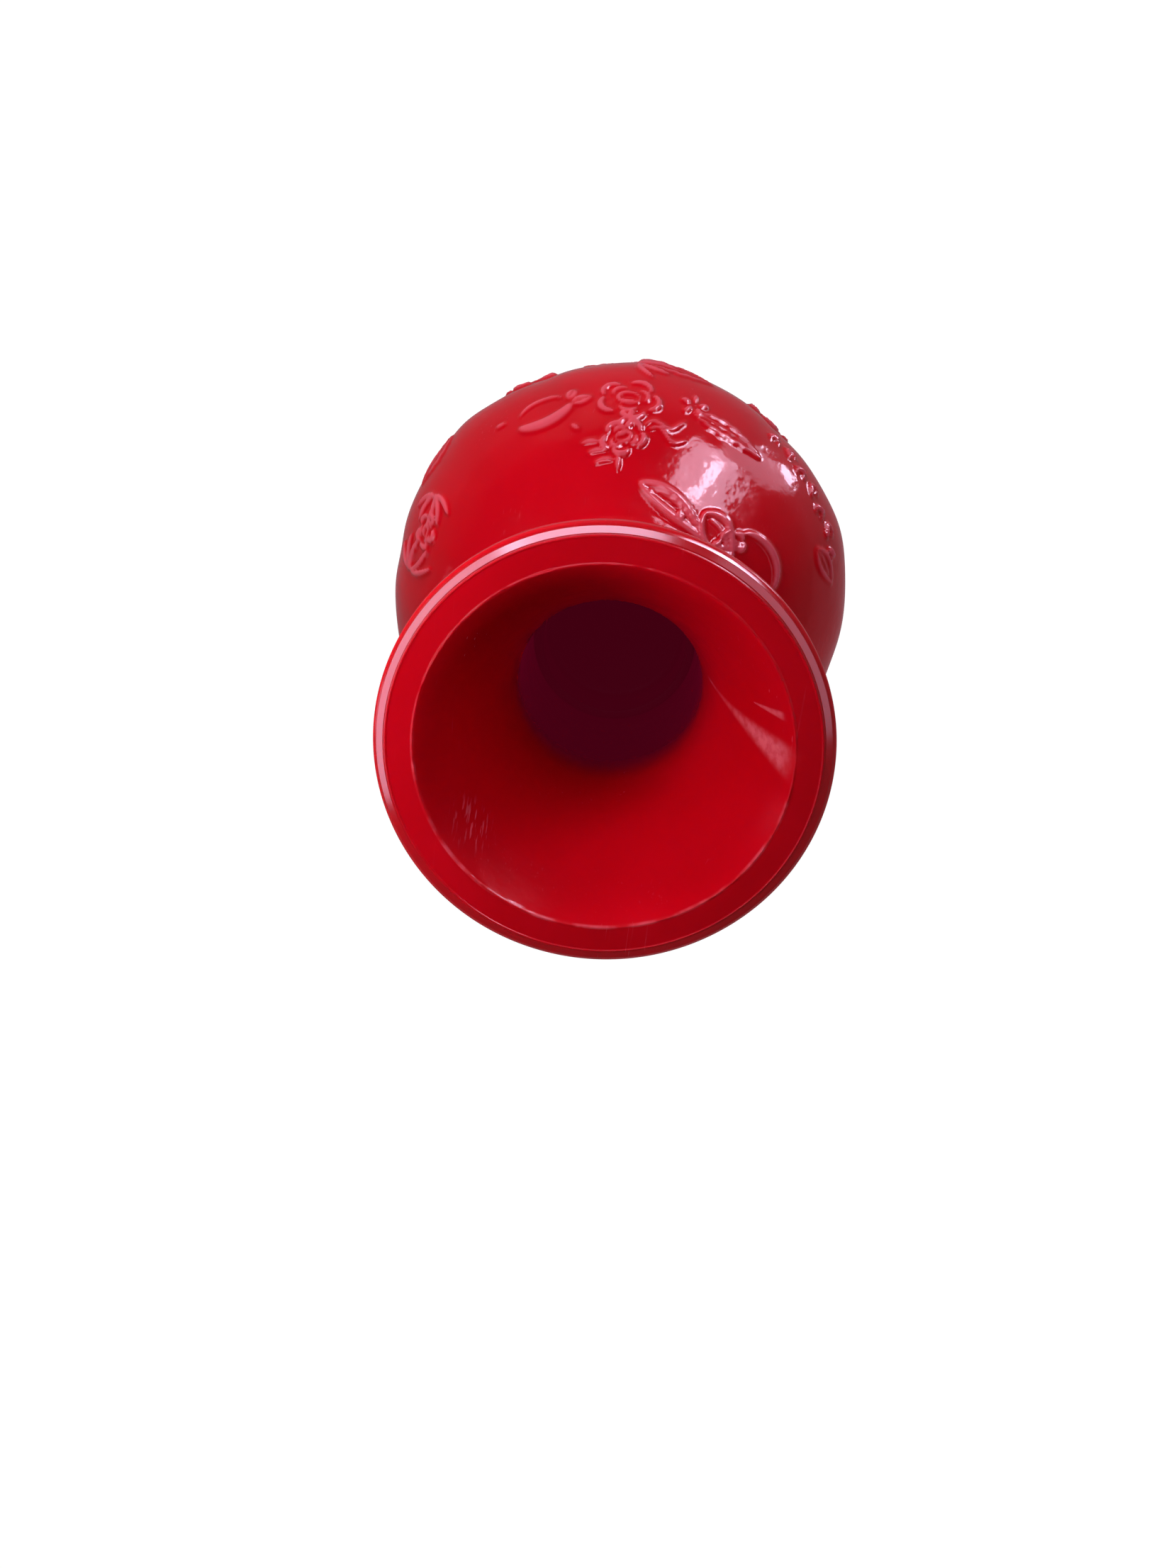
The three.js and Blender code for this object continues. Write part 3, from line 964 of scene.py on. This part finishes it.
def red_plastic(name, gloss, shine, wear_and_highlight_mask, scratch_spot=None, painted_shade_mask=None, polish_mask=None):
    """Tone, rubbed places that also carry painted highlights, scratches and dust for colour; wear for
    roughness; wear and a slow unevenness for bump. The bell also has painted shade in its bore, dark
    maroon with a faint painted glow, and a polished place."""
    material, tree, shader = new_material(name)
    place = add(tree, "ShaderNodeTexCoord").outputs["Object"]
    wear = use_group(tree, WEAR, place, Gloss=gloss, Amount=0.15).outputs
    dust = use_group(tree, DUST, place, Scale=150.0, Amount=0.3).outputs["Mask"]
    colour = use_group(tree, TONE, place, Scale=34.0, Light=RED_LIGHT, Deep=RED_DEEP).outputs["Color"]
    # Painted shade: the bore's colour is mixed down to dark maroon, and the same mask adds a faint painted
    # glow as emission.
    if painted_shade_mask:
        deep = painted_shade_mask(tree, place)
        colour = mixed(tree, deep, colour, THROAT_PAINTED_SHADE)
        tree.links.new(mixed(tree, deep, (0, 0, 0, 1), THROAT_PAINTED_GLOW), shader.inputs["Emission Color"])
        shader.inputs["Emission Strength"].default_value = 1.0
    # Pale paint from the mask: rubbed wear mixed with a painted highlight on the crests, and painted
    # highlights along the mouth's flash and on the funnel's streaks.
    colour = mixed(tree, wear_and_highlight_mask(tree, place), colour, PALE_WEAR_AND_HIGHLIGHT)
    scratch = wear["Scratch"]
    if scratch_spot:
        scratch = calc(tree, "MAXIMUM", scratch, scuff(tree, place, *scratch_spot))
    colour = mixed(tree, calc(tree, "MULTIPLY", scratch, 0.6), colour, PALE_WEAR_AND_HIGHLIGHT)
    tree.links.new(mixed(tree, dust, colour, DUST_COLOR), shader.inputs["Base Color"])
    rough = calc(tree, "ADD", wear["Roughness"], calc(tree, "MULTIPLY", dust, 0.5))
    tree.links.new(rough, shader.inputs["Roughness"])
    uneven = bumped(tree, noise(tree, place, Scale=230.0, Detail=3.0), strength=0.7, distance=0.00022)
    rippled = bumped(tree, wear["Height"], strength=0.3, distance=0.00004, under=uneven)
    tree.links.new(rippled, shader.inputs["Normal"])
    shader.inputs["IOR"].default_value = 1.5
    shader.inputs["Specular IOR Level"].default_value = shine
    if polish_mask:
        shader.inputs["Coat IOR"].default_value = 2.3
        shader.inputs["Coat Roughness"].default_value = 0.13
        tree.links.new(polish_mask(tree, place), shader.inputs["Coat Weight"])
    shader.inputs["Subsurface Weight"].default_value = 0.3
    shader.inputs["Subsurface Radius"].default_value = (1.0, 0.08, 0.06)
    shader.inputs["Subsurface Scale"].default_value = 0.0035
    return material


# %% Scuffs and painted highlight streaks
def scuff(tree, place, centre, reach):
    """A patch of fine parallel scratches: thin streaks of stretched noise, inside a soft sphere."""
    streak = noise(tree, stretch(tree, place, (0.5, 0.2, 0.9), (3600.0, 110.0, 500.0)), Scale=1.0, Detail=2.0)
    away = add(tree, "ShaderNodeVectorMath", operation="DISTANCE")
    tree.links.new(place, away.inputs[0])
    away.inputs[1].default_value = centre
    inside = ramp(tree, away.outputs["Value"], 0.25 * reach, reach, 1.0, 0.0)
    return calc(tree, "MULTIPLY", ramp(tree, streak, 0.56, 0.66), inside)


def painted_highlight_streak(tree, place, start, stop, width):
    """A painted highlight streak along a straight line on a curved wall: the distance from the line,
    found as the part of the way from 'start' that is square to the line, widens from 'start' to 'stop'."""
    start, stop = Vector(start), Vector(stop)
    along = stop - start
    way = add(tree, "ShaderNodeVectorMath", operation="SUBTRACT")
    tree.links.new(place, way.inputs[0])
    way.inputs[1].default_value = start
    share = add(tree, "ShaderNodeVectorMath", operation="DOT_PRODUCT")
    tree.links.new(way.outputs["Vector"], share.inputs[0])
    share.inputs[1].default_value = along / along.length_squared
    foot = add(tree, "ShaderNodeVectorMath", operation="SCALE")
    foot.inputs[0].default_value = along
    tree.links.new(share.outputs["Value"], foot.inputs["Scale"])
    off = add(tree, "ShaderNodeVectorMath", operation="DISTANCE")
    tree.links.new(way.outputs["Vector"], off.inputs[0])
    tree.links.new(foot.outputs["Vector"], off.inputs[1])
    spread = calc(tree, "MULTIPLY", calc(tree, "ADD", share.outputs["Value"], 0.12), width)
    near = ramp(tree, calc(tree, "DIVIDE", off.outputs["Value"], spread), 0.35, 1.0, 1.0, 0.0)
    begin = ramp(tree, share.outputs["Value"], 0.0, 0.12)
    end = ramp(tree, share.outputs["Value"], 0.85, 1.02, 1.0, 0.0)
    grain = ramp(tree, noise(tree, place, Scale=900.0, Detail=3.0), 0.3, 0.65, 0.5, 1.0)
    return product(tree, near, begin, end, grain)


# %% Masks: where the plastic is rubbed or painted with highlights, painted with shade, or polished
def crest_wear_and_highlight_mask(tree, place):
    """The relief's height, from the mesh: only the tops of the lines are painted paler, partly as
    rubbed wear and partly as a painted highlight.
    """
    crest = add(tree, "ShaderNodeAttribute", attribute_name="crest")
    return ramp(tree, crest.outputs["Fac"], 0.2, 0.75, 0.0, 0.68)


# Each painted highlight streak is its start, stop and greatest width in metres, and how pale it is
PAINTED_HIGHLIGHT_STREAKS = [
    ((-0.0122, -0.0050, 0.1020), (-0.0222, -0.0014, 0.1238), 0.0024, 0.9),
    ((-0.0168, -0.0064, 0.1165), (-0.0204, -0.0069, 0.1228), 0.0007, 0.6),
]


def flash_and_highlight_mask(tree, place):
    """The thread of flash with a painted highlight: a thin half ring where the distance from the axis is
    the mouth's radius, near the rim face, broken up by noise and kept to the side where the light
    catches the edge; and two painted highlight streaks on the funnel's wall."""
    radius, y, z = from_axis(tree, place)
    off = calc(tree, "ABSOLUTE", calc(tree, "SUBTRACT", radius, (MOUTH_RADIUS + 0.05) * MM))
    ring = ramp(tree, off, 0.12 * MM, 0.3 * MM, 1.0, 0.0)
    near_face = ramp(tree, z, (HEIGHT - 0.6) * MM, (HEIGHT - 0.3) * MM)
    patchy = ramp(tree, noise(tree, place, Scale=260.0, Detail=3.0), 0.42, 0.7, 0.02, 0.45)
    # Painted highlight: the pale ring is kept to one side, where the light catches the edge.
    one_side = ramp(tree, y, -2 * MM, 5 * MM)
    pale = product(tree, ring, near_face, patchy, one_side)
    for start, stop, width, strength in PAINTED_HIGHLIGHT_STREAKS:
        mark = painted_highlight_streak(tree, place, start, stop, width)
        pale = calc(tree, "MAXIMUM", pale, calc(tree, "MULTIPLY", mark, strength))
    return pale


def throat_painted_shade_mask(tree, place):
    """How far into the bore a point lies, as painted shade: the red is painted down to maroon between
    the end of the funnel and the bore, where the hole lies in shade. The outside isn't darkened."""
    radius, _, z = from_axis(tree, place)
    deep = ramp(tree, z, (HEIGHT - 35) * MM, (HEIGHT - 25) * MM, 1.0, 0.0)
    inner = ramp(tree, radius, (BORE_RADIUS + 1.9) * MM, (BORE_RADIUS + 2.4) * MM, 1.0, 0.0)
    return calc(tree, "MULTIPLY", deep, inner)


def lip_mask(tree, place):
    """The coat: full on the lip's bevel, which hands have polished, and nearly none elsewhere."""
    radius, _, z = from_axis(tree, place)
    inner_edge = ramp(tree, radius, (FACE_RADIUS - 0.15) * MM, (FACE_RADIUS + 0.1) * MM)
    outer_edge = ramp(tree, radius, BEVEL_END * MM, (LIP_RADIUS - 0.15) * MM, 1.0, 0.05)
    high = ramp(tree, z, (HEIGHT - 2.4) * MM, (HEIGHT - 1.6) * MM)
    return calc(tree, "ADD", product(tree, inner_edge, outer_edge, high, 0.94), 0.06)


# %% Make the two red plastics
SCUFF = ((0.0151, 0.0128, 0.1190), 0.0046)  # its middle and reach in metres
bell_red = red_plastic("bell_red_plastic", 0.2, 0.16, flash_and_highlight_mask, SCUFF, throat_painted_shade_mask, lip_mask)
shell_red = red_plastic("shell_red_plastic", 0.12, 0.5, crest_wear_and_highlight_mask)
print("red plastics:", bell_red.name, shell_red.name)

# %% [markdown]
# ## Rubber and steel
# The plug sits deep in the bore's shade, and its rubber is painted nearly black as painted shade and
# is hardly shiny, with the same faint painted glow as the bore round it. The shot is bare metal,
# dented and dulled by rattling.

# %% Materials: rubber in painted shade and steel shot
RUBBER_LIGHT = (0.03, 0.0003, 0.003, 1)
RUBBER_DEEP = (0.02, 0.0002, 0.002, 1)
RUBBER_DUST = (0.06, 0.02, 0.02, 1)
STEEL_BRIGHT = (0.62, 0.63, 0.65, 1)
STEEL_DULL = (0.3, 0.29, 0.28, 1)


def painted_shade_rubber():
    """Matt maroon rubber painted nearly black as painted shade, with a faint painted glow, a fine grain
    and dust that has settled in the cup.
    """
    material, tree, shader = new_material("plug_rubber_painted_shade", 0.65)
    place = add(tree, "ShaderNodeTexCoord").outputs["Object"]
    tone = use_group(tree, TONE, place, Scale=120.0, Light=RUBBER_LIGHT, Deep=RUBBER_DEEP).outputs["Color"]
    wear = use_group(tree, WEAR, place, Gloss=0.62, Amount=0.3).outputs
    dust = use_group(tree, DUST, place, Scale=420.0, Amount=0.25).outputs["Mask"]
    tree.links.new(mixed(tree, dust, tone, RUBBER_DUST), shader.inputs["Base Color"])
    shader.inputs["Specular IOR Level"].default_value = 0.08
    # Painted glow: the bore's faint emission, so that the plug reads as flat shade.
    shader.inputs["Emission Color"].default_value = THROAT_PAINTED_GLOW
    shader.inputs["Emission Strength"].default_value = 1.0
    tree.links.new(wear["Roughness"], shader.inputs["Roughness"])
    height = calc(tree, "ADD", noise(tree, place, Scale=1600.0, Detail=2.0), wear["Height"])
    tree.links.new(bumped(tree, height, strength=0.4, distance=0.00005), shader.inputs["Normal"])
    return material


def shot_steel():
    """Tumbled steel: grey metal with small matt dents and darker oxide patches."""
    material, tree, shader = new_material("pellet_tumbled_steel", 0.3, 1.0)
    place = add(tree, "ShaderNodeTexCoord").outputs["Object"]
    dents = add(tree, "ShaderNodeTexVoronoi", Scale=2200.0)
    tree.links.new(place, dents.inputs["Vector"])
    wear = use_group(tree, WEAR, place, Gloss=0.3, Amount=1.0).outputs
    oxide = ramp(tree, noise(tree, place, Scale=700.0, Detail=4.0, Roughness=0.65), 0.45, 0.7)
    tree.links.new(mixed(tree, oxide, STEEL_BRIGHT, STEEL_DULL), shader.inputs["Base Color"])
    rough = calc(tree, "ADD", wear["Roughness"], calc(tree, "MULTIPLY", oxide, 0.25))
    tree.links.new(rough, shader.inputs["Roughness"])
    dented = bumped(tree, dents.outputs["Distance"], strength=0.35, distance=0.00006)
    tree.links.new(dented, shader.inputs["Normal"])
    return material


plug_rubber, steel = painted_shade_rubber(), shot_steel()
print("plug and shot:", plug_rubber.name, steel.name)

# %% [markdown]
# ## Putting the pieces on the frame
# Each new surface stands for its CAD solid, rides on the same body and takes its material.

# %% Ride, replace and paint
def settle(piece, node, body, material):
    """One piece in place of one CAD node; the node gets the same material."""
    for thing in (piece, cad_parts[node]):
        thing.data.materials.clear()
        thing.data.materials.append(material)
    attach(piece, body)
    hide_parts(node)


settle(bell, "bell_mouth", CASING, bell_red)
settle(upper_shell, "upper_egg_shell", CASING, shell_red)
settle(lower_shell, "lower_egg_shell", CASING, shell_red)
settle(plug, "throat_plug", CASING, plug_rubber)
for node, shot in pellet_balls.items():
    settle(shot, node, f"{node}_ball", steel)
print("pieces:", 4 + len(pellet_balls))

# %% [markdown]
# ## Floor and light
# The floor and the background are white to the camera, but dim to everything else, because a glossy
# red thing in a white room turns grey with reflections. The light comes from panels instead, of two
# kinds. Glare panels only show in reflections: a window with a bright core in front and to the left,
# cards that carry it on round the egg, and narrow softboxes over the mouth for the polished lip.
# Fills only light the colour itself: from the window, low in front, close over the funnel's side and
# from behind. With the two kinds apart, each highlight can be placed without changing the colours.


# %% Make the floor
def pale_floor():
    """A wide floor with a barely visible paper grain. It glows white for the camera, a soft pink in
    reflections, so that the plastic's edges get a faint haze, and only dimly for everything else. It
    lies just under the foot, so that the two don't share a plane."""
    bpy.ops.mesh.primitive_plane_add(size=8, location=(0, 0, -0.2 * MM))
    floor = bpy.context.object
    floor.name = "floor"
    material, tree, shader = new_material("pale_floor", 0.8)
    place = add(tree, "ShaderNodeTexCoord").outputs["Object"]
    grain = noise(tree, place, Scale=400.0, Detail=3.0)
    paper = mixed(tree, grain, (0.08, 0.06, 0.06, 1), (0.1, 0.075, 0.075, 1))
    tree.links.new(paper, shader.inputs["Base Color"])
    path = add(tree, "ShaderNodeLightPath").outputs
    dim = mixed(tree, path["Is Glossy Ray"], (0.13, 0.03, 0.04, 1), (0.3, 0.16, 0.18, 1))
    tree.links.new(mixed(tree, path["Is Camera Ray"], dim, (1, 1, 1, 1)), shader.inputs["Emission Color"])
    shader.inputs["Emission Strength"].default_value = 1.0
    floor.data.materials.append(material)
    return floor


pale_floor()


# %% Make the lights
def softbox(name, direction, distance, size, power, colour=(1, 1, 1), turn=0):
    """A rectangular area light that faces the middle of the shaker from a direction, and is turned
    about that direction by 'turn' degrees."""
    data = bpy.data.lights.new(name, "AREA")
    data.shape = "RECTANGLE"
    data.size, data.size_y = size
    data.energy = power
    data.color = colour
    light = bpy.data.objects.new(name, data)
    bpy.context.scene.collection.objects.link(light)
    away = Vector(direction).normalized()
    facing = away.to_track_quat("Z", "Y") @ Quaternion((0, 0, 1), math.radians(turn))
    light.rotation_euler = facing.to_euler()
    light.location = Vector((0, 0, HEIGHT * 0.6 * MM)) + away * distance
    return light


PINKISH = (0.94, 0.78, 1.04)
WINDOW = ((-0.476, -0.762, 0.438), 0.5, (0.2, 0.34))  # its direction, distance and size
GLARE_PANELS = [
    softbox("lip_softbox_side", (0.53, 0.024, 0.848), 0.205, (0.19, 0.06), 0.062, PINKISH, -27),
    softbox("lip_softbox_front", (0.139, -0.399, 0.906), 0.238, (0.11, 0.055), 0.062, PINKISH),
    softbox("lip_softbox_dim", (-0.466, -0.137, 0.872), 0.21, (0.13, 0.05), 0.011, PINKISH, 25),
    softbox("window_softbox", *WINDOW, 1.6, PINKISH),
    softbox("window_core", (-0.48, -0.76, 0.44), 0.48, (0.05, 0.22), 0.6, PINKISH),
    softbox("side_card", (-0.65, -0.742, -0.166), 0.151, (0.036, 0.076), 0.02, PINKISH, -34),
    softbox("low_card", (-0.68, -0.6, -0.42), 0.14, (0.02, 0.022), 0.02, PINKISH),
    softbox("left_strip", (0.85, 0.2, 0.42), 0.5, (0.12, 0.3), 0.06, PINKISH),
]
FILLS = [
    softbox("window_fill", *WINDOW, 0.78, PINKISH),
    softbox("front_fill", (0.35, -0.9, 0.02), 0.6, (0.3, 0.2), 1.9),
    softbox("near_fill", (0.6, -0.2, 0.775), 0.158, (0.06, 0.06), 0.13),
    softbox("back_fill", (-0.3, 0.9, 0.05), 1.2, (0.6, 0.3), 4.0),
]
for panel in GLARE_PANELS:
    panel.visible_diffuse = False
for fill in FILLS:
    fill.visible_glossy = False
print(len(GLARE_PANELS), "glare panels,", len(FILLS), "fills")


def horizon_glow():
    """World light: white for the camera; for everything else dim near the horizon and dark overhead."""
    world = bpy.data.worlds.new("studio")
    world.use_nodes = True
    tree = world.node_tree
    parts = add(tree, "ShaderNodeSeparateXYZ")
    tree.links.new(add(tree, "ShaderNodeTexCoord").outputs["Generated"], parts.inputs["Vector"])
    glow = ramp(tree, parts.outputs["Z"], 0.02, 0.5, 0.12, 0.03)
    seen = add(tree, "ShaderNodeLightPath").outputs["Is Camera Ray"]
    tree.links.new(calc(tree, "MAXIMUM", glow, seen), tree.nodes["Background"].inputs["Strength"])
    tree.nodes["Background"].inputs["Color"].default_value = (1, 1, 1, 1)
    bpy.context.scene.world = world


horizon_glow()
bpy.context.scene.view_settings.view_transform = "Standard"
